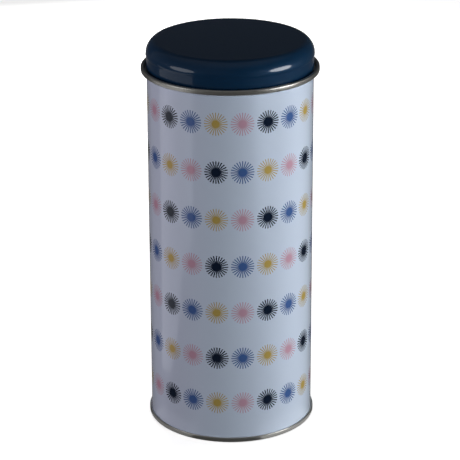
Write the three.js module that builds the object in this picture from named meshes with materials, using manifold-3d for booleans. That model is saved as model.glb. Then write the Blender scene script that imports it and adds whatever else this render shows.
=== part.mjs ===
// A tall round storage tin with a slip-over lid, standing on its base. Millimetres, +Z up; the
// origin is the centre of the ring that the tin stands on, and the front is towards -Y.
//
// Every piece but the two sealing rings is pressed or rolled from one gauge of tinplate, so it is
// described by its middle line: a few corners in (radius, height), each with its bend, turned
// about Z. The same few radii and heights place the five layers of each double seam.

import * as THREE from 'three';
import { mergeVertices } from 'three/addons/utils/BufferGeometryUtils.js';
import Module from 'manifold-3d';

const wasm = await Module();
wasm.setup();

// ---- driving dimensions ----------------------------------------------------------------------

const SHEET = 0.22; // thickness of the tinplate
const HEIGHT = 181.2; // floor to the top of the lid

const BODY_RADIUS = 37.5; // outside of the printed wall
const NECK_RADIUS = 37.05; // outside of the neck that the lid slips over
const LID_SKIRT_RADIUS = 37.65;
const LID_SHOULDER_RADIUS = 37.85;

const FOOT_SEAM_RADIUS = 38.5; // seam that joins the bottom, and that the tin stands on
const RING_SEAM_RADIUS = 40.1; // seam that joins the neck, the bright ring below the lid
const RING_TOP = 169.3;
const SEAM_HEIGHT = 2.3;
const SEAM_CORNER = 0.54; // bend of a seam's outer corner
const SEAM_INNER_CORNER = 0.4;
const RING_LAYER_PITCH = 0.33; // from one layer of the ring's seam to the next
const CHUCK_PITCH = 0.3; // from the body wall to the layer that lines it inside a seam

const COMPOUND_THICKNESS = 0.19;
const COMPOUND_CLEARANCE = 0.03;

const BODY_LEDGE = 166.4; // height at which the wall turns out towards the ring
const BODY_LEDGE_BENDS = [0.5, 0.4];
const NECK_LEDGE_RISE = 0.32; // the neck's ledge lies this far above the body's
const NECK_LEDGE_BENDS = [0.4, 0.3];
const NECK_TOP = 177.2;
const NECK_CURL = 0.5; // bend of the neck's rolled edge
const NECK_CURL_WIDTH = 1.1;
const NECK_CURL_TAIL = 0.45; // length of the roll's last leg, which hides the cut edge

// The shoulder rounds over in two bends, at the ends of a corner cut off at 45 degrees.
const LID_SHOULDER = { corner: 3.31, upperBend: 4.28, lowerBend: 6.97 };
const LID_STEP = { top: 174.6, height: 0.7, bend: 2 }; // soft step in, from shoulder to skirt
const LID_EDGE = 166.95; // lower edge of the lid, just clear of the neck's ledge
const LID_HEM_PITCH = 0.3; // from the skirt to the hem folded up inside it
const LID_HEM_HEIGHT = 2.1;

const END_CHANNEL = 3.3; // height of the channel round the bottom
const END_CHANNEL_BEND = 0.8;
const END_STEP = { outer: 32, inner: 31.2, drop: 0.7 }; // step down to the middle panel
const END_BEAD = { radius: 23.4, foot: 1.1, crown: 0.5, rise: 0.6 }; // stiffening bead

const LAP_WIDTH = 1.2; // overlap of the sheet's two ends, at the back
const LAP_THICKNESS = 0.2;
const LAP_BOTTOM = 4.5;
const LAP_TOP = 165.3;

const SEGMENTS = 40; // facets round the tin
const BEND_TOLERANCE = 0.05; // how far a bend's facets may stray from its arc
const LEAST_BEND_STEPS = 2;
const SAME_POINT = 1e-6;

// ---- sheet-metal sections ---------------------------------------------------------------------

const HALF = SHEET / 2;
const BODY_MIDDLE = BODY_RADIUS - HALF;

/** A corner of a middle line: radius, height and how wide it is bent. */
function corner(radius, height, bend = 0) {
  return { at: new THREE.Vector2(radius, height), bend };
}

/** The middle line's points, with each corner's bend as a run of chords. */
function middleLine(corners) {
  const points = corners.flatMap(({ at, bend }, i) => {
    if (bend === 0) {
      return [at.clone()];
    }
    const back = corners[i - 1].at.clone().sub(at).normalize();
    const ahead = corners[i + 1].at.clone().sub(at).normalize();
    const halfOpening = Math.acos(THREE.MathUtils.clamp(back.dot(ahead), -1, 1)) / 2;
    const turn = (Math.PI - 2 * halfOpening) * Math.sign(ahead.cross(back));
    const centre = back.clone().add(ahead).normalize()
      .multiplyScalar(bend / Math.sin(halfOpening)).add(at);
    const start = back.multiplyScalar(bend / Math.tan(halfOpening)).add(at);
    const chord = 2 * Math.acos(1 - BEND_TOLERANCE / bend);
    const steps = Math.max(LEAST_BEND_STEPS, Math.ceil(Math.abs(turn) / chord));
    return Array.from({ length: steps + 1 }, (_, step) => (
      start.clone().rotateAround(centre, turn * step / steps)
    ));
  });
  // Where two bends meet, the end of one is the start of the next.
  return points.filter((point, i) => i === 0 || point.distanceTo(points[i - 1]) > SAME_POINT);
}

/** The sheet's outline: half its thickness to each side of the middle line, mitred at bends. */
function sheetOutline(corners) {
  const line = middleLine(corners);
  const offset = (side) => line.map((point, i) => {
    const along = [[i - 1, i], [i, i + 1]]
      .filter(([from, to]) => from >= 0 && to < line.length)
      .map(([from, to]) => line[to].clone().sub(line[from]).normalize());
    const normals = along.map(({ x, y }) => new THREE.Vector2(-y, x));
    const mitre = normals.reduce((sum, normal) => sum.clone().add(normal)).normalize();
    return point.clone().addScaledVector(mitre, side * HALF / mitre.dot(normals[0]));
  });
  return [...offset(1), ...offset(-1).reverse()];
}

/** A closed outline turned about Z; one that starts on the axis also ends there. */
function turned(outline) {
  const closed = outline[0].x === 0 ? outline : [...outline, outline[0]];
  const clockwise = THREE.ShapeUtils.area(outline) < 0;
  const profile = clockwise ? [...closed].reverse() : closed;
  return new THREE.LatheGeometry(profile, SEGMENTS).rotateX(Math.PI / 2);
}

// ---- double seams -----------------------------------------------------------------------------

// The layers of a seam, from the outside in: the cover's skirt, the body's hook, the cover's
// hook, the body's wall and the cover's chuck wall. `towards` is +1 where the seam rises from
// its tip (the foot) and -1 where it hangs from it (the ring).
function doubleSeam({ radius, wall, tip, towards }) {
  const skirt = radius - HALF;
  const pitch = (skirt - wall) / 3;
  const panel = tip + towards * HALF;
  const bodyFold = panel + towards * (SHEET + COMPOUND_THICKNESS + 2 * COMPOUND_CLEARANCE);
  const coverFold = tip + towards * (SEAM_HEIGHT - HALF);
  const hookTop = coverFold - towards * pitch;
  const hookRoot = bodyFold + towards * pitch;
  return {
    skirt,
    wall,
    panel,
    towards,
    chuck: wall - CHUCK_PITCH,
    bodyHook: [
      corner(skirt - pitch, hookTop),
      corner(skirt - pitch, bodyFold, pitch),
      corner(wall, bodyFold, pitch),
    ],
    coverHook: [
      corner(skirt - 2 * pitch, hookRoot),
      corner(skirt - 2 * pitch, coverFold, pitch),
      corner(skirt, coverFold, pitch),
      corner(skirt, panel, SEAM_CORNER),
      corner(wall - CHUCK_PITCH, panel, SEAM_INNER_CORNER),
    ],
  };
}

const footSeam = doubleSeam({
  radius: FOOT_SEAM_RADIUS,
  wall: BODY_MIDDLE,
  tip: 0,
  towards: 1,
});

const ringSeam = doubleSeam({
  radius: RING_SEAM_RADIUS,
  wall: RING_SEAM_RADIUS - HALF - 3 * RING_LAYER_PITCH,
  tip: RING_TOP,
  towards: -1,
});

// ---- the pieces -------------------------------------------------------------------------------

/** A closed three.js mesh as a manifold solid. */
function toSolid(geometry) {
  const bare = geometry.clone();
  bare.deleteAttribute('normal');
  bare.deleteAttribute('uv');
  const merged = mergeVertices(bare);
  return new wasm.Manifold(new wasm.Mesh({
    numProp: 3,
    vertProperties: new Float32Array(merged.attributes.position.array),
    triVerts: new Uint32Array(merged.index.array),
  }));
}

/** A manifold solid as three.js geometry. */
function toGeometry(solid) {
  const { vertProperties, triVerts } = solid.getMesh();
  const geometry = new THREE.BufferGeometry();
  geometry.setAttribute('position', new THREE.BufferAttribute(vertProperties, 3));
  geometry.setIndex(new THREE.BufferAttribute(triVerts, 1));
  geometry.computeVertexNormals();
  return geometry;
}

/** The rolled wall: hooked into both seams, with its two ends lapped inside at the back. */
function bodyShell() {
  const wall = turned(sheetOutline([
    ...footSeam.bodyHook,
    corner(BODY_MIDDLE, BODY_LEDGE, BODY_LEDGE_BENDS[0]),
    corner(ringSeam.wall, BODY_LEDGE, BODY_LEDGE_BENDS[1]),
    ...ringSeam.bodyHook.toReversed(),
  ]));
  const lapDepth = LAP_THICKNESS + HALF;
  const lap = new THREE.BoxGeometry(LAP_WIDTH, lapDepth, LAP_TOP - LAP_BOTTOM)
    .translate(0, BODY_MIDDLE - lapDepth / 2, (LAP_TOP + LAP_BOTTOM) / 2);
  return toGeometry(toSolid(wall).add(toSolid(lap)));
}

/** The stamped bottom: seam, recessed channel, step down to the middle panel, and one bead. */
function bottomEnd() {
  const panel = END_CHANNEL - END_STEP.drop;
  const beadTop = panel + END_BEAD.rise;
  return turned(sheetOutline([
    ...footSeam.coverHook,
    corner(footSeam.chuck, END_CHANNEL, END_CHANNEL_BEND),
    corner(END_STEP.outer, END_CHANNEL),
    corner(END_STEP.inner, panel),
    corner(END_BEAD.radius + END_BEAD.foot, panel),
    corner(END_BEAD.radius + END_BEAD.crown, beadTop),
    corner(END_BEAD.radius - END_BEAD.crown, beadTop),
    corner(END_BEAD.radius - END_BEAD.foot, panel),
    corner(0, panel),
  ].reverse()));
}

/** The neck: hangs from the ring's seam, turns in along a ledge and rises to a rolled edge. */
function neckCollar() {
  const ledge = BODY_LEDGE + NECK_LEDGE_RISE;
  const neck = NECK_RADIUS - HALF;
  const curlTop = NECK_TOP - HALF;
  const curlInside = neck - NECK_CURL_WIDTH;
  const curlBottom = curlTop - NECK_CURL_WIDTH;
  return turned(sheetOutline([
    ...ringSeam.coverHook,
    corner(ringSeam.chuck, ledge, NECK_LEDGE_BENDS[1]),
    corner(neck, ledge, NECK_LEDGE_BENDS[0]),
    corner(neck, curlTop, NECK_CURL),
    corner(curlInside, curlTop, NECK_CURL),
    corner(curlInside, curlBottom, NECK_CURL),
    corner(curlInside + NECK_CURL + NECK_CURL_TAIL / 2, curlBottom),
  ]));
}

/** The drawn lid: flat top, round shoulder, a soft step in to the skirt, and a hem inside. */
function lidCap() {
  const top = HEIGHT - HALF;
  const shoulder = LID_SHOULDER_RADIUS - HALF;
  const skirt = LID_SKIRT_RADIUS - HALF;
  const edge = LID_EDGE + HALF;
  return turned(sheetOutline([
    corner(0, top),
    corner(shoulder - LID_SHOULDER.corner, top, LID_SHOULDER.upperBend),
    corner(shoulder, top - LID_SHOULDER.corner, LID_SHOULDER.lowerBend),
    corner(shoulder, LID_STEP.top, LID_STEP.bend),
    corner(skirt, LID_STEP.top - LID_STEP.height, LID_STEP.bend),
    corner(skirt, edge, LID_HEM_PITCH / 2),
    corner(skirt - LID_HEM_PITCH, edge, LID_HEM_PITCH / 2),
    corner(skirt - LID_HEM_PITCH, LID_EDGE + LID_HEM_HEIGHT),
  ]));
}

/** The sealing compound inside a seam, between the cover's panel and the body's fold. */
function seamCompound({ skirt, wall, panel, towards }) {
  const near = panel + towards * (HALF + COMPOUND_CLEARANCE);
  const far = near + towards * COMPOUND_THICKNESS;
  const inner = wall + HALF;
  const outer = skirt - SEAM_CORNER;
  return turned([
    new THREE.Vector2(inner, near),
    new THREE.Vector2(outer, near),
    new THREE.Vector2(outer, far),
    new THREE.Vector2(inner, far),
  ]);
}

// ---- materials and assembly --------------------------------------------------------------------

const printedTin = { color: '#c3cbdf', roughness: 0.22, metalness: 0.1 };
const bareTin = { color: '#c9c9c6', roughness: 0.28, metalness: 1 };
const lidEnamel = { color: '#0d2238', roughness: 0.12, metalness: 0.2 };
const compound = { color: '#8e8f86', roughness: 0.9, metalness: 0 };

const PIECES = [
  ['body_shell', bodyShell(), printedTin],
  ['bottom_end', bottomEnd(), bareTin],
  ['neck_collar', neckCollar(), bareTin],
  ['lid_cap', lidCap(), lidEnamel],
  ['bottom_seam_compound', seamCompound(footSeam), compound],
  ['neck_seam_compound', seamCompound(ringSeam), compound],
];

const tin = new THREE.Group();
for (const [name, geometry, finish] of PIECES) {
  const mesh = new THREE.Mesh(geometry, new THREE.MeshStandardMaterial(finish));
  mesh.name = name;
  tin.add(mesh);
}

export default tin;
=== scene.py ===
"""The looks of a tall round storage tin: a printed body, bare tinplate seams and a navy slip lid.

Every piece is a sheet-metal section turned about the tin's axis. Sections are in millimetres, as
(radius, height) corners with a bend at each; the meshes and the scene are in metres. The outer sizes
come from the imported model, and the gauge, the bends and the seams' layers are named below.
"""

import math

import bpy
from mathutils import Matrix, Vector


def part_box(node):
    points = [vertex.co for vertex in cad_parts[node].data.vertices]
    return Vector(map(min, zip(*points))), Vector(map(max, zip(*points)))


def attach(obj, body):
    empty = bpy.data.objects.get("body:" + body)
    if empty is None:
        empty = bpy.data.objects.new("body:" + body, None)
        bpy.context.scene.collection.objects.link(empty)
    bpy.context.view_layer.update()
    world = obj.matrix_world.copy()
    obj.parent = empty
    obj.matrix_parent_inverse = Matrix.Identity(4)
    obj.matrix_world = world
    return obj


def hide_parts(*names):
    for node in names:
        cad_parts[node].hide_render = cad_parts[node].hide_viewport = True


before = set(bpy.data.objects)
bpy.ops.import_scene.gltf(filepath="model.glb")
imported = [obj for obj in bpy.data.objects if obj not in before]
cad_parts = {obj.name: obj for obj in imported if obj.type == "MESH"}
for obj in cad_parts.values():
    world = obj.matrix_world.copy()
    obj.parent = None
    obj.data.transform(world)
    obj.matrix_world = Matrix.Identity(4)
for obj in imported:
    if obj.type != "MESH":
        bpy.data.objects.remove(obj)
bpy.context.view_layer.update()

MM = 0.001


def box_mm(node):
    """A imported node's lowest and highest corners, in millimetres."""
    low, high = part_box(node)
    return low / MM, high / MM


# ---- sizes ----------------------------------------------------------------------------------------

RING_RADIUS = box_mm("neck_collar")[1].x
FOOT_RADIUS = box_mm("bottom_end")[1].x
LID_RADIUS = box_mm("lid_cap")[1].x
HEIGHT = box_mm("lid_cap")[1].z
LID_EDGE = box_mm("lid_cap")[0].z
NECK_TOP = box_mm("neck_collar")[1].z

SHEET = 0.22
HALF = SHEET / 2
BODY_RADIUS = 37.5
BODY_MIDDLE = BODY_RADIUS - HALF
NECK_MIDDLE = 37.05 - HALF
SKIRT_MIDDLE = 37.65 - HALF

SEAM_HEIGHT = 2.3
SEAM_CORNER = 0.54
SEAM_INNER_CORNER = 0.4
RING_TOP = 169.3
RING_LAYER_PITCH = 0.33
CHUCK_PITCH = 0.3
COMPOUND_THICKNESS = 0.19
COMPOUND_CLEARANCE = 0.03
COMPOUND_EDGE_STEPS = 8

BODY_LEDGE = 166.4
BODY_LEDGE_BENDS = (0.5, 0.4)
NECK_LEDGE = 166.72
NECK_LEDGE_BENDS = (0.4, 0.3)
NECK_CURL = 0.5
NECK_CURL_WIDTH = 1.1
NECK_CURL_TAIL = 0.25  # how far the curl's last leg runs past its bend

LAP_HALF_WIDTH = 0.6
LAP_THICKNESS = 0.2
LAP_RAMP = 0.15
LAP_BOTTOM = 4.5
LAP_TOP = 165.3
GROOVE_HALF_WIDTH = 0.12
GROOVE_DEPTH = 0.08

END_CHANNEL = 3.3
END_CHANNEL_BEND = 0.8
END_STEP_RADII = (32.0, 31.2)
END_STEP_DROP = 0.7
END_STEP_BEND = 0.5
END_BEAD_RADIUS = 23.4
END_BEAD_FOOT = 1.1
END_BEAD_CROWN = 0.5
END_BEAD_RISE = 0.6
END_BEAD_BEND = 0.3

LID_SHOULDER_CORNER = 3.31
LID_SHOULDER_BENDS = (4.28, 6.97)
LID_STEP_TOP = 174.6
LID_STEP_HEIGHT = 0.7
LID_STEP_BEND = 2.0
LID_HEM_PITCH = 0.3
LID_HEM_HEIGHT = 2.1

# Seven rows of twenty starbursts. The column offset is a fraction of a column.
ROWS = 7
ROW_PITCH = 22.29
MIDDLE_ROW = 86.37
COLUMNS = 20
COLUMN_PITCH = 2 * math.pi * BODY_RADIUS / COLUMNS
COLUMN_OFFSET = 0.049
RAYS = 24
STAR_RADIUS = 5.3
CORE_RADIUS = 1.7
INK_BLUR = 0.03
BARE_MARGIN = 2.5
BARE_MARGIN_BLUR = 0.05

# Each surface is mottled between two close tones, given as linear red, green and blue.
GROUND_TONES = ((0.62, 0.71, 0.88, 1), (0.64, 0.73, 0.90, 1))
NAVY_TONES = ((0.0019, 0.025, 0.070, 1), (0.0023, 0.029, 0.078, 1))
TIN_TONES = ((0.62, 0.61, 0.58, 1), (0.69, 0.68, 0.65, 1))
COMPOUND_TONES = ((0.27, 0.28, 0.26, 1), (0.36, 0.36, 0.33, 1))
PINK = (0.58, 0.34, 0.45, 1)
BLACK_NAVY = (0.003, 0.011, 0.033, 1)
BLUE = (0.062, 0.13, 0.36, 1)
YELLOW = (0.50, 0.36, 0.10, 1)
INKS = (PINK, BLACK_NAVY, BLUE, YELLOW)
RAY_WIDTHS = (0.41, 0.53, 0.46, 0.38)  # in the order of the inks
UNDERCOAT_SPECULAR = 0.1  # paint under varnish hardly shines by itself
PRINT_METALLIC = 0.12
TIN_METALLIC = 0.95
TIN_ROUGHNESS = 0.3
TIN_RUBBING = 0.04  # how far rubbing takes the roughness up and down

STATIONS = 256  # round the tin
BEND_TOLERANCE = 0.002
CUT_EDGE_ANGLE = math.radians(40)
SAME_POINT = 0.001
BAKE_LAYER = "OFBake"
BAKE_SHARE = 8.0  # the printed side's share of the bake, to 1 for the lining's


# ---- sheet-metal sections --------------------------------------------------------------------------

def corner(radius, height, bend=0.0):
    """A corner of a section's middle line, and how wide it is bent."""
    return Vector((radius, height)), bend


def middle_line(corners):
    """The middle line's points, with each corner's bend as an arc."""
    points = []
    for i, (at, bend) in enumerate(corners):
        if bend == 0:
            points.append(at)
            continue
        back = (corners[i - 1][0] - at).normalized()
        ahead = (corners[i + 1][0] - at).normalized()
        half_opening = back.angle(ahead) / 2
        turn = math.copysign(math.pi - 2 * half_opening, ahead.cross(back))
        centre = at + (back + ahead).normalized() * (bend / math.sin(half_opening))
        start = at + back * (bend / math.tan(half_opening)) - centre
        steps = math.ceil(abs(turn) / (2 * math.acos(1 - BEND_TOLERANCE / bend)))
        for step in range(steps + 1):
            points.append(centre + Matrix.Rotation(turn * step / steps, 2) @ start)
    return [p for i, p in enumerate(points) if i == 0 or (p - points[i - 1]).length > SAME_POINT]


def sheet_sides(corners):
    """The sheet's right and left faces, seen along the way that the corners run."""
    line = middle_line(corners)
    left, right = [], []
    for i, point in enumerate(line):
        ends = [(a, b) for a, b in ((i - 1, i), (i, i + 1)) if a >= 0 and b < len(line)]
        along = [(line[b] - line[a]).normalized() for a, b in ends]
        normals = [Vector((-way.y, way.x)) for way in along]
        mitre = sum(normals, Vector((0, 0))).normalized()
        reach = mitre * (HALF / mitre.dot(normals[0]))
        left.append(point + reach)
        right.append(point - reach)
    return right, left


# ---- double seams ----------------------------------------------------------------------------------

def double_seam(radius, wall, tip, towards):
    """A seam's layers. towards is 1 where it rises from its tip, and -1 where it hangs from it."""
    skirt = radius - HALF
    pitch = (skirt - wall) / 3
    panel = tip + towards * HALF
    body_fold = panel + towards * (SHEET + COMPOUND_THICKNESS + 2 * COMPOUND_CLEARANCE)
    cover_fold = tip + towards * (SEAM_HEIGHT - HALF)
    compound_near = panel + towards * (HALF + COMPOUND_CLEARANCE)
    return {
        "chuck": wall - CHUCK_PITCH,
        "wall": wall,
        "body_hook": [
            corner(skirt - pitch, cover_fold - towards * pitch),
            corner(skirt - pitch, body_fold, pitch),
            corner(wall, body_fold, pitch),
        ],
        "cover_hook": [
            corner(skirt - 2 * pitch, body_fold + towards * pitch),
            corner(skirt - 2 * pitch, cover_fold, pitch),
            corner(skirt, cover_fold, pitch),
            corner(skirt, panel, SEAM_CORNER),
            corner(wall - CHUCK_PITCH, panel, SEAM_INNER_CORNER),
        ],
        "compound": (
            wall + HALF,
            skirt - SEAM_CORNER,
            compound_near,
            compound_near + towards * COMPOUND_THICKNESS,
        ),
    }


foot_seam = double_seam(FOOT_RADIUS, BODY_MIDDLE, 0.0, 1)
ring_seam = double_seam(RING_RADIUS, RING_RADIUS - HALF - 3 * RING_LAYER_PITCH, RING_TOP, -1)


# ---- turning a section -----------------------------------------------------------------------------

def even_angles():
    """Azimuths all round, from the front (-Y) towards +X."""
    return [2 * math.pi * i / STATIONS for i in range(STATIONS)]


def ring_of_points(point, side, angles, shift):
    """A section's point carried round to each azimuth, in metres."""
    points = []
    for angle in angles:
        radius = (point.x + (shift(side, angle, point.y) if shift else 0.0)) * MM
        points.append((radius * math.sin(angle), -radius * math.cos(angle), point.y * MM))
    return points


def unroll(mesh, patches, length):
    """Lays the faces out flat for baking, each from its patch, with the section's length made 1."""
    layer = mesh.uv_layers.new(name=BAKE_LAYER)
    corners = [(u, v / length) for patch in patches for u, v in patch]
    layer.data.foreach_set("uv", [number for uv in corners for number in uv])


def turn(name, sides, angles=None, shift=None):
    """Turns a closed section about Z: out along its first side and back along its second.

    Faces of the first side wear material 0, and all others material 1. shift(side, angle, height)
    moves a point along its radius, in millimetres. A piece of quads only is also unrolled.
    """
    angles = angles or even_angles()
    section = [(p, 0) for p in sides[0]] + [(p, 1) for p in reversed(sides[1])]
    verts, rings = [], []
    for point, side in section:
        if point.x < SAME_POINT:
            rings.append([len(verts)] * len(angles))
            verts.append((0.0, 0.0, point.y * MM))
            continue
        rings.append(list(range(len(verts), len(verts) + len(angles))))
        verts += ring_of_points(point, side, angles, shift)

    faces, finishes, patches = [], [], []
    along = 0.0
    for i, ring in enumerate(rings):
        following = rings[(i + 1) % len(rings)]
        side = 0 if i < len(sides[0]) - 1 else 1
        start = along
        step = (section[(i + 1) % len(rings)][0] - section[i][0]).length
        along += step * (BAKE_SHARE if side == 0 else 1.0)
        if ring[0] == ring[1] and following[0] == following[1]:
            continue
        for j, angle in enumerate(angles):
            k = (j + 1) % len(angles)
            quad = (ring[j], ring[k], following[k], following[j])
            faces.append(tuple(dict.fromkeys(quad)))
            finishes.append(side)
            left = (angle / (2 * math.pi) + 0.5) % 1
            right = left + (angles[k] - angle) % (2 * math.pi) / (2 * math.pi)
            patches.append(((left, start), (right, start), (right, along), (left, along)))

    mesh = bpy.data.meshes.new(name)
    mesh.from_pydata(verts, [], faces)
    mesh.polygons.foreach_set("material_index", finishes)
    mesh.shade_smooth()
    mesh.set_sharp_from_angle(angle=CUT_EDGE_ANGLE)
    if all(len(face) == 4 for face in faces):
        unroll(mesh, patches, along)
    piece = bpy.data.objects.new(name, mesh)
    bpy.context.scene.collection.objects.link(piece)
    return piece


# ---- the pieces ------------------------------------------------------------------------------------

def printed_body():
    """The rolled wall with both its hooks, lapped at the back: ridge inside, fine groove outside."""
    corners = [
        *foot_seam["body_hook"],
        corner(BODY_MIDDLE, LAP_BOTTOM - LAP_RAMP),
        corner(BODY_MIDDLE, LAP_BOTTOM),
        corner(BODY_MIDDLE, LAP_TOP),
        corner(BODY_MIDDLE, LAP_TOP + LAP_RAMP),
        corner(BODY_MIDDLE, BODY_LEDGE, BODY_LEDGE_BENDS[0]),
        corner(ring_seam["wall"], BODY_LEDGE, BODY_LEDGE_BENDS[1]),
        *reversed(ring_seam["body_hook"]),
    ]

    def from_back(angle):
        return (angle - math.pi) * BODY_RADIUS

    clear_of_lap = LAP_HALF_WIDTH + 2 * LAP_RAMP
    lap_marks = [LAP_HALF_WIDTH + LAP_RAMP, LAP_HALF_WIDTH, GROOVE_HALF_WIDTH]
    lap_stations = [-mark for mark in lap_marks] + [0.0] + lap_marks[::-1]
    angles = sorted(
        [a for a in even_angles() if abs(from_back(a)) > clear_of_lap]
        + [math.pi + station / BODY_RADIUS for station in lap_stations]
    )

    def shift(side, angle, height):
        if not LAP_BOTTOM <= height <= LAP_TOP:
            return 0.0
        across = abs(from_back(angle))
        if side == 0:
            return -GROOVE_DEPTH if across < GROOVE_HALF_WIDTH / 2 else 0.0
        return -LAP_THICKNESS if across <= LAP_HALF_WIDTH + SAME_POINT else 0.0

    return turn("printed_body", sheet_sides(corners), angles, shift)


def stamped_bottom():
    """The bottom: seam, recessed channel, step down to the middle panel, and one round bead."""
    panel = END_CHANNEL - END_STEP_DROP
    bead_top = panel + END_BEAD_RISE
    corners = [
        *foot_seam["cover_hook"],
        corner(foot_seam["chuck"], END_CHANNEL, END_CHANNEL_BEND),
        corner(END_STEP_RADII[0], END_CHANNEL, END_STEP_BEND),
        corner(END_STEP_RADII[1], panel, END_STEP_BEND),
        corner(END_BEAD_RADIUS + END_BEAD_FOOT, panel, END_BEAD_BEND),
        corner(END_BEAD_RADIUS + END_BEAD_CROWN, bead_top, END_BEAD_BEND),
        corner(END_BEAD_RADIUS - END_BEAD_CROWN, bead_top, END_BEAD_BEND),
        corner(END_BEAD_RADIUS - END_BEAD_FOOT, panel, END_BEAD_BEND),
        corner(0, panel),
    ]
    return turn("stamped_bottom", sheet_sides(corners[::-1]))


def neck_ring():
    """The neck: the ring's seam, a ledge inwards, and the straight neck up to its rolled edge."""
    curl_top = NECK_TOP - HALF
    curl_inside = NECK_MIDDLE - NECK_CURL_WIDTH
    curl_bottom = curl_top - NECK_CURL_WIDTH
    corners = [
        *ring_seam["cover_hook"],
        corner(ring_seam["chuck"], NECK_LEDGE, NECK_LEDGE_BENDS[1]),
        corner(NECK_MIDDLE, NECK_LEDGE, NECK_LEDGE_BENDS[0]),
        corner(NECK_MIDDLE, curl_top, NECK_CURL),
        corner(curl_inside, curl_top, NECK_CURL),
        corner(curl_inside, curl_bottom, NECK_CURL),
        corner(curl_inside + NECK_CURL + NECK_CURL_TAIL, curl_bottom),
    ]
    return turn("neck_ring", sheet_sides(corners))


def enamelled_lid():
    """The lid: flat top, round shoulder, a soft step in to the skirt, and the hem folded inside."""
    top = HEIGHT - HALF
    shoulder = LID_RADIUS - HALF
    edge = LID_EDGE + HALF
    corners = [
        corner(0, top),
        corner(shoulder - LID_SHOULDER_CORNER, top, LID_SHOULDER_BENDS[0]),
        corner(shoulder, top - LID_SHOULDER_CORNER, LID_SHOULDER_BENDS[1]),
        corner(shoulder, LID_STEP_TOP, LID_STEP_BEND),
        corner(SKIRT_MIDDLE, LID_STEP_TOP - LID_STEP_HEIGHT, LID_STEP_BEND),
        corner(SKIRT_MIDDLE, edge, LID_HEM_PITCH / 2),
        corner(SKIRT_MIDDLE - LID_HEM_PITCH, edge, LID_HEM_PITCH / 2),
        corner(SKIRT_MIDDLE - LID_HEM_PITCH, LID_EDGE + LID_HEM_HEIGHT),
    ]
    return turn("enamelled_lid", sheet_sides(corners[::-1]))


def compound_ring(name, seam):
    """The sealing compound in a seam: a flat ring with rounded edges."""
    inner, outer, near, far = seam["compound"]
    low, high = min(near, far), max(near, far)
    middle = (low + high) / 2
    reach = (high - low) / 2
    steps = COMPOUND_EDGE_STEPS
    arc = [math.pi * i / steps - math.pi / 2 for i in range(steps + 1)]
    outside = [Vector((outer - reach + reach * math.cos(a), middle + reach * math.sin(a))) for a in arc]
    inside = [Vector((inner + reach - reach * math.cos(a), middle + reach * math.sin(a))) for a in arc]
    return turn(name, (outside, inside))


# ---- materials -------------------------------------------------------------------------------------

class Nodes:
    """A node tree, with short calls for the nodes that a pattern is made of."""

    def __init__(self, tree):
        self.tree = tree

    def feed(self, socket, value):
        """Links a socket into another, or sets it to a number or a colour."""
        if isinstance(value, bpy.types.NodeSocket):
            self.tree.links.new(value, socket)
        else:
            socket.default_value = value

    def split(self, vector):
        """A vector's x, y and z."""
        node = self.tree.nodes.new("ShaderNodeSeparateXYZ")
        self.feed(node.inputs[0], vector)
        return list(node.outputs)

    def join(self, x, y, z):
        """A vector of three numbers or sockets."""
        node = self.tree.nodes.new("ShaderNodeCombineXYZ")
        for socket, value in zip(node.inputs, (x, y, z)):
            self.feed(socket, value)
        return node.outputs[0]

    def math(self, operation, *values):
        """A Math node on numbers or sockets."""
        node = self.tree.nodes.new("ShaderNodeMath")
        node.operation = operation
        for socket, value in zip(node.inputs, values):
            self.feed(socket, value)
        return node.outputs[0]

    def add(self, first, *others):
        """The sum of numbers or sockets."""
        for other in others:
            first = self.math("ADD", first, other)
        return first

    def multiply(self, first, *others):
        """The product of numbers or sockets."""
        for other in others:
            first = self.math("MULTIPLY", first, other)
        return first

    def length(self, x, y):
        """The length of a flat vector."""
        return self.math("SQRT", self.add(self.math("POWER", x, 2.0), self.math("POWER", y, 2.0)))

    def span(self, value, from_low, from_high, to_low, to_high):
        """Maps a value from one range to another, and clamps it."""
        node = self.tree.nodes.new("ShaderNodeMapRange")
        for socket, number in zip(node.inputs, (value, from_low, from_high, to_low, to_high)):
            self.feed(socket, number)
        return node.outputs["Result"]

    def under(self, value, limit, blur):
        """1 where a value is below the limit and 0 above it, with an edge of that blur each way."""
        return self.span(value, limit - blur, limit + blur, 1.0, 0.0)

    def choose(self, number, colours):
        """The colour with that number, counted from 0."""
        node = self.tree.nodes.new("ShaderNodeValToRGB")
        ramp = node.color_ramp
        ramp.interpolation = "CONSTANT"
        while len(ramp.elements) < len(colours):
            ramp.elements.new(0.5)
        for i, (element, colour) in enumerate(zip(ramp.elements, colours)):
            element.position = i / len(colours)
            element.color = colour
        self.feed(node.inputs["Fac"], self.math("DIVIDE", self.add(number, 0.5), len(colours)))
        return node.outputs["Color"]

    def mix(self, factor, low, high):
        """A blend of two colours, each a constant or a socket."""
        node = self.tree.nodes.new("ShaderNodeMix")
        node.data_type = "RGBA"
        sockets = {socket.identifier: socket for socket in node.inputs}
        self.feed(sockets["Factor_Float"], factor)
        self.feed(sockets["A_Color"], low)
        self.feed(sockets["B_Color"], high)
        return next(socket for socket in node.outputs if socket.identifier == "Result_Color")


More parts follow.
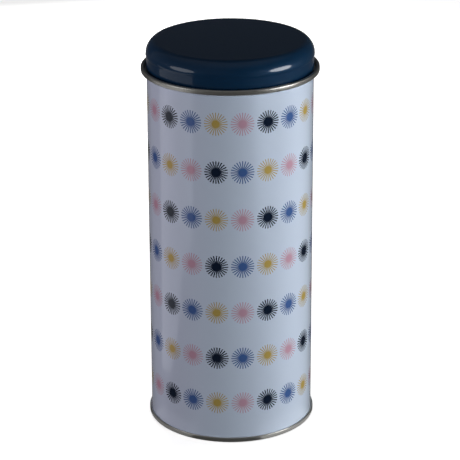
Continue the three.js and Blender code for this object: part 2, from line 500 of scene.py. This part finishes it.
class Finish(Nodes):
    """A material on the standard shader; its settings are the shader's sockets, in lower case."""

    def __init__(self, name, **settings):
        self.material = bpy.data.materials.new(name)
        self.material.use_nodes = True
        super().__init__(self.material.node_tree)
        self.surface = self.tree.nodes["Principled BSDF"]
        self.position = self.tree.nodes.new("ShaderNodeTexCoord").outputs["Object"]
        for socket, value in settings.items():
            self.set(socket.replace("_", " ").title(), value)

    def set(self, socket, value):
        """Sets or drives one of the shader's own sockets."""
        self.feed(self.surface.inputs[socket], value)

    def around(self):
        """Azimuth in radians from the front, then distance from the axis and height, in mm."""
        x, y, z = [self.math("DIVIDE", axis, MM) for axis in self.split(self.position)]
        azimuth = self.math("ARCTAN2", x, self.multiply(y, -1.0))
        return azimuth, self.length(x, y), z

    def noise(self, grain, detail=2.0, position=None):
        """Noise from 0 to 1, with that many grains to a unit of the position's vector."""
        node = self.tree.nodes.new("ShaderNodeTexNoise")
        self.feed(node.inputs["Vector"], position or self.position)
        node.inputs["Scale"].default_value = grain
        node.inputs["Detail"].default_value = detail
        return node.outputs["Fac"]

    def bump(self, height, depth, over=None):
        """A bump that deep, in millimetres, by itself or on top of another bump's normal."""
        node = self.tree.nodes.new("ShaderNodeBump")
        node.inputs["Distance"].default_value = depth * MM
        self.feed(node.inputs["Height"], height)
        if over is not None:
            self.feed(node.inputs["Normal"], over)
        return node.outputs["Normal"]


def starburst(f, azimuth, z):
    """How much ink lies at a point of the wall, and the number of the ink there."""
    column_place = f.math("MULTIPLY_ADD", azimuth, COLUMNS / (2 * math.pi), COLUMN_OFFSET)
    column = f.math("FLOOR", column_place)
    row_place = f.math("DIVIDE", f.math("SUBTRACT", z, MIDDLE_ROW), ROW_PITCH)
    row = f.math("ROUND", row_place)
    across = f.multiply(f.add(f.math("SUBTRACT", column_place, column), -0.5), COLUMN_PITCH)
    up = f.multiply(f.math("SUBTRACT", row_place, row), ROW_PITCH)

    # The inks run in one order round the tin, and each row starts two inks on from the row above.
    order = f.math("SUBTRACT", f.add(column, ROWS - 1), f.multiply(row, 2.0))
    ink_number = f.math("FLOORED_MODULO", order, len(INKS))

    # Rays of one width from a solid middle, all cut off by a circle.
    reach = f.length(across, up)
    ray_place = f.multiply(f.math("ARCTAN2", up, across), RAYS / (2 * math.pi))
    off_ray = f.math("SUBTRACT", ray_place, f.math("ROUND", ray_place))
    off_angle = f.multiply(off_ray, 2 * math.pi / RAYS)
    beside_ray = f.multiply(reach, f.math("ABSOLUTE", f.math("SINE", off_angle)))
    half_widths = [(width / 2, width / 2, width / 2, 1) for width in RAY_WIDTHS]
    half_width = f.choose(ink_number, half_widths)
    ray = f.under(f.math("SUBTRACT", beside_ray, half_width), 0.0, INK_BLUR)
    core = f.under(reach, CORE_RADIUS, INK_BLUR)
    within = f.under(reach, STAR_RADIUS, INK_BLUR)
    on_a_row = f.math("LESS_THAN", f.math("ABSOLUTE", row), ROWS / 2)
    cover = f.multiply(f.math("MAXIMUM", ray, core), within, on_a_row)
    return cover, ink_number


def starburst_print():
    """The printed outside: starbursts on a pale ground under varnish, and bare edges at the lap."""
    f = Finish("starburst_print", roughness=0.2, coat_weight=1.0, coat_roughness=0.05)
    f.set("Specular IOR Level", UNDERCOAT_SPECULAR)
    azimuth, _, z = f.around()
    cover, ink_number = starburst(f, azimuth, z)
    ground = f.mix(f.noise(grain=140.0, detail=4.0), *GROUND_TONES)
    printed = f.mix(cover, ground, f.choose(ink_number, INKS))
    from_lap = f.multiply(f.math("SUBTRACT", math.pi, f.math("ABSOLUTE", azimuth)), BODY_RADIUS)
    bare = f.under(from_lap, BARE_MARGIN, BARE_MARGIN_BLUR)
    f.set("Base Color", f.mix(bare, printed, TIN_TONES[1]))
    f.set("Metallic", f.span(bare, 0.0, 1.0, PRINT_METALLIC, TIN_METALLIC))
    waves = f.bump(f.noise(grain=45.0, detail=1.0), depth=0.006)
    f.set("Coat Normal", f.bump(f.noise(grain=900.0), depth=0.0012, over=waves))
    return f.material


def navy_enamel():
    """Deep navy lacquer over tinplate: tinted metal under a hard clear gloss."""
    f = Finish("navy_enamel", metallic=0.15, roughness=0.36, coat_weight=1.0, coat_roughness=0.09)
    f.set("Specular IOR Level", UNDERCOAT_SPECULAR)
    f.set("Base Color", f.mix(f.noise(grain=160.0, detail=3.0), *NAVY_TONES))
    waves = f.bump(f.noise(grain=60.0, detail=1.0), depth=0.008)
    f.set("Coat Normal", f.bump(f.noise(grain=700.0), depth=0.0012, over=waves))
    return f.material


def bare_tinplate(name):
    """Bare tinplate: faint lines round the tin from rolling, a soft spangle and light rubbing."""
    f = Finish(name, metallic=TIN_METALLIC)
    azimuth, radius, z = f.around()
    spangle = f.noise(grain=110.0)
    lines = f.join(f.multiply(azimuth, 2.0), f.multiply(radius, 1.6), f.multiply(z, 1.6))
    rolled = f.noise(grain=1.0, position=lines)
    f.set("Base Color", f.mix(spangle, *TIN_TONES))
    smoothest, roughest = TIN_ROUGHNESS - TIN_RUBBING, TIN_ROUGHNESS + TIN_RUBBING
    f.set("Roughness", f.span(f.add(spangle, rolled), 0.6, 1.4, smoothest, roughest))
    f.set("Normal", f.bump(rolled, depth=0.001))
    return f.material


def sealing_compound():
    """Dull rubbery compound, slightly lumpy."""
    f = Finish("sealing_compound", roughness=0.85)
    lumps = f.noise(grain=900.0, detail=3.0)
    f.set("Base Color", f.mix(lumps, *COMPOUND_TONES))
    f.set("Normal", f.bump(lumps, depth=0.03))
    return f.material


# ---- putting the tin together ----------------------------------------------------------------------

def place(piece, node, body, finish, lining=None):
    """Stands a piece in for its CAD node, on its body, finished outside and lined inside."""
    piece.data.materials.append(finish)
    piece.data.materials.append(lining or finish)
    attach(piece, body)
    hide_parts(node)


tinplate = bare_tinplate("bright_tinplate")
lining = bare_tinplate("lacquered_lining")
compound = sealing_compound()
foot_compound = compound_ring("foot_compound", foot_seam)
neck_compound = compound_ring("neck_compound", ring_seam)

place(printed_body(), "body_shell", "can", starburst_print(), lining)
place(stamped_bottom(), "bottom_end", "can", tinplate)
place(neck_ring(), "neck_collar", "can", tinplate)
place(enamelled_lid(), "lid_cap", "lid", navy_enamel(), lining)
place(foot_compound, "bottom_seam_compound", "can", compound)
place(neck_compound, "neck_seam_compound", "can", compound)


# ---- floor, light and camera -----------------------------------------------------------------------

FLOOR_GLOW = 0.72
FLOOR_TONE = 0.8
FLOOR_GAP = 0.00005  # the floor lies this far under the foot, so that the two don't touch
FLOOR_REACH = 6.0

# What the tin sees in each part of the studio round it, as radiance.
SKY = {
    "front, low": 0.045,
    "front, left": 0.08,
    "front, right": 0.035,
    "overhead": 0.143,
    "behind, high": 0.033,
    "behind, level": 0.027,
    "behind, low at the sides": 0.053,
    "behind, low": 0.12,
}

# Lights: azimuth and elevation in degrees, distance from the lid, size, radiance and tint.
SOFTBOX = (0.3, 0.45)
RIGHT_LIGHT = (43, -5, 0.7, SOFTBOX, 8.2, (0.99, 1.01, 1.0))
SIDE_LIGHT = (105, -5, 0.7, SOFTBOX, 8.3, (1.0, 1.0, 0.94))
LEFT_LIGHT = (-92, -5, 0.7, SOFTBOX, 7.4, (1.06, 0.96, 1.0))
REAR_LIGHT = (-168, 10, 0.7, SOFTBOX, 6.0, (1.0, 1.0, 1.0))
RIGHT_GLINT = (69, 1, 0.58, (0.36, 0.2), 8.0, (1.0, 1.0, 1.0))
LEFT_GLINT = (-66, 0, 0.58, (0.4, 0.2), 1.5, (1.0, 1.0, 1.0))

# Patches of table that the tin reflects: corners in metres, and radiance.
LEFT_TABLE = [
    (-0.09, -0.015),
    (-0.21, -0.085),
    (-0.225, -0.185),
    (-0.5, -0.4),
    (-0.7, 0.27),
    (-0.09, 0.012),
]
LEFT_TABLE_GLOW = 0.38
RIGHT_TABLE = [(0.06, -0.01), (0.6, -0.35), (0.7, 0.3)]
RIGHT_TABLE_GLOW = 0.064

# Two more close round the foot, each between two azimuths in degrees, and their radiance.
FOOT_GLOW_RADII = (0.039, 0.052)
FOOT_GLOW_STEPS = 8
FOOT_RIGHT = (22, 80, 0.4)
FOOT_LEFT = (-80, -30, 0.2)

# The camera fitted to the tin's outline: metres, degrees, and millimetres of lens.
CAMERA_DISTANCE = 0.9513
CAMERA_HEIGHT = 0.4579
CAMERA_ASIDE = -0.00035
CAMERA_PITCH = 21.16
CAMERA_ROLL = -0.2
CAMERA_LENS = 173.45
CAMERA_SENSOR = 36.0
CAMERA_NEAREST = 0.05


def glowing_sheet(name, corners, glow, tone=0.0):
    """A flat glowing sheet in the studio, which isn't part of the tin."""
    mesh = bpy.data.meshes.new(name)
    mesh.from_pydata([(x, y, -FLOOR_GAP) for x, y in corners], [], [tuple(range(len(corners)))])
    paint = Finish(name, base_color=(tone, tone, tone, 1), roughness=0.8)
    paint.set("Specular IOR Level", 0.0)
    paint.set("Emission Color", (1, 1, 1, 1))
    paint.set("Emission Strength", glow)
    mesh.materials.append(paint.material)
    sheet = bpy.data.objects.new(name, mesh)
    bpy.context.scene.collection.objects.link(sheet)
    sheet.visible_diffuse = False
    return sheet


def pale_floor():
    """The pale floor. Only the camera sees it, so that it doesn't light the tin."""
    r = FLOOR_REACH
    floor = glowing_sheet("floor", [(-r, -r), (r, -r), (r, r), (-r, r)], FLOOR_GLOW, FLOOR_TONE)
    floor.visible_glossy = False


def table_patch(name, corners, glow):
    """A patch of table that the tin reflects. The camera sees the floor in its place."""
    patch = glowing_sheet(name, corners, glow)
    patch.location.z = -FLOOR_GAP
    patch.visible_camera = False
    patch.visible_shadow = False


def foot_patch(name, start, end, glow):
    """A patch of table close round the foot, between two azimuths in degrees."""
    steps = FOOT_GLOW_STEPS
    arc = [math.radians(start + (end - start) * i / steps) for i in range(steps + 1)]
    inner, outer = FOOT_GLOW_RADII
    rim = [(inner * math.sin(a), -inner * math.cos(a)) for a in arc]
    rim += [(outer * math.sin(a), -outer * math.cos(a)) for a in reversed(arc)]
    table_patch(name, rim, glow)


def softbox(name, azimuth, elevation, distance, size, radiance, tint, mirrored=False):
    """A light aimed at the lid: a box that lights the tin, or an ellipse that is only mirrored."""
    lamp = bpy.data.lights.new(name, "AREA")
    lamp.shape = "ELLIPSE" if mirrored else "RECTANGLE"
    lamp.size, lamp.size_y = size
    area = size[0] * size[1] * (math.pi / 4 if mirrored else 1)
    lamp.energy = radiance * math.pi * area
    lamp.color = tint
    box = bpy.data.objects.new(name, lamp)
    a, e = math.radians(azimuth), math.radians(elevation)
    away = Vector((math.sin(a) * math.cos(e), -math.cos(a) * math.cos(e), math.sin(e)))
    box.location = Vector((0, 0, HEIGHT * MM)) + away * distance
    box.rotation_mode = "QUATERNION"
    box.rotation_quaternion = (-away).to_track_quat("-Z", "Y")
    box.visible_camera = False
    box.visible_glossy = mirrored
    box.visible_diffuse = not mirrored
    bpy.context.scene.collection.objects.link(box)


def studio_sky():
    """The dim studio round the tin, by direction: a front with a canopy over it, and a dark back."""
    world = bpy.data.worlds.new("studio")
    world.use_nodes = True
    f = Nodes(world.node_tree)
    x, y, z = f.split(f.tree.nodes.new("ShaderNodeTexCoord").outputs["Generated"])

    def other(part):
        return f.math("SUBTRACT", 1.0, part)

    # Soft cuts of the direction, each a share from 0 to 1.
    in_front = f.under(f.math("SUBTRACT", y, f.multiply(f.math("ABSOLUTE", x), 0.9)), 0.09, 0.06)
    at_the_sides = f.under(f.math("DIVIDE", y, f.length(x, y)), 0.915, 0.035)
    on_the_left = f.under(x, 0.0, 0.3)
    low = f.under(z, -0.07, 0.05)
    below_canopy = f.under(z, 0.75, 0.15)
    below_top = f.under(z, 0.55, 0.1)
    level_front = f.multiply(in_front, other(low), below_canopy)
    low_behind = f.multiply(other(in_front), low)
    parts = {
        "front, low": f.multiply(in_front, low),
        "front, left": f.multiply(level_front, on_the_left),
        "front, right": f.multiply(level_front, other(on_the_left)),
        "overhead": f.multiply(in_front, other(below_canopy)),
        "behind, high": f.multiply(other(in_front), other(below_top)),
        "behind, level": f.multiply(other(in_front), other(low), below_top),
        "behind, low at the sides": f.multiply(low_behind, at_the_sides),
        "behind, low": f.multiply(low_behind, other(at_the_sides)),
    }
    background = f.tree.nodes["Background"]
    background.inputs["Color"].default_value = (1, 1, 1, 1)
    sky = f.add(*[f.multiply(part, SKY[name]) for name, part in parts.items()])
    f.feed(background.inputs["Strength"], sky)
    bpy.context.scene.world = world


def photo_camera():
    """A long lens, a little above the tin and looking down on it."""
    lens = bpy.data.cameras.new("camera")
    lens.sensor_width = CAMERA_SENSOR
    lens.lens = CAMERA_LENS
    lens.clip_start = CAMERA_NEAREST
    eye = bpy.data.objects.new("camera", lens)
    stand = Matrix.Translation((CAMERA_ASIDE, -CAMERA_DISTANCE, CAMERA_HEIGHT))
    tilt = Matrix.Rotation(math.radians(90 - CAMERA_PITCH), 4, "X")
    roll = Matrix.Rotation(math.radians(CAMERA_ROLL), 4, "Z")
    eye.matrix_world = stand @ tilt @ roll
    bpy.context.scene.collection.objects.link(eye)
    bpy.context.scene.camera = eye


pale_floor()
studio_sky()
softbox("right_light", *RIGHT_LIGHT)
softbox("side_light", *SIDE_LIGHT)
softbox("left_light", *LEFT_LIGHT)
softbox("rear_light", *REAR_LIGHT)
softbox("right_glint", *RIGHT_GLINT, mirrored=True)
softbox("left_glint", *LEFT_GLINT, mirrored=True)
table_patch("left_table", LEFT_TABLE, LEFT_TABLE_GLOW)
table_patch("right_table", RIGHT_TABLE, RIGHT_TABLE_GLOW)
foot_patch("foot_right", *FOOT_RIGHT)
foot_patch("foot_left", *FOOT_LEFT)
photo_camera()
bpy.context.scene.view_settings.view_transform = "Standard"
bpy.context.scene.cycles.denoising_prefilter = "NONE"
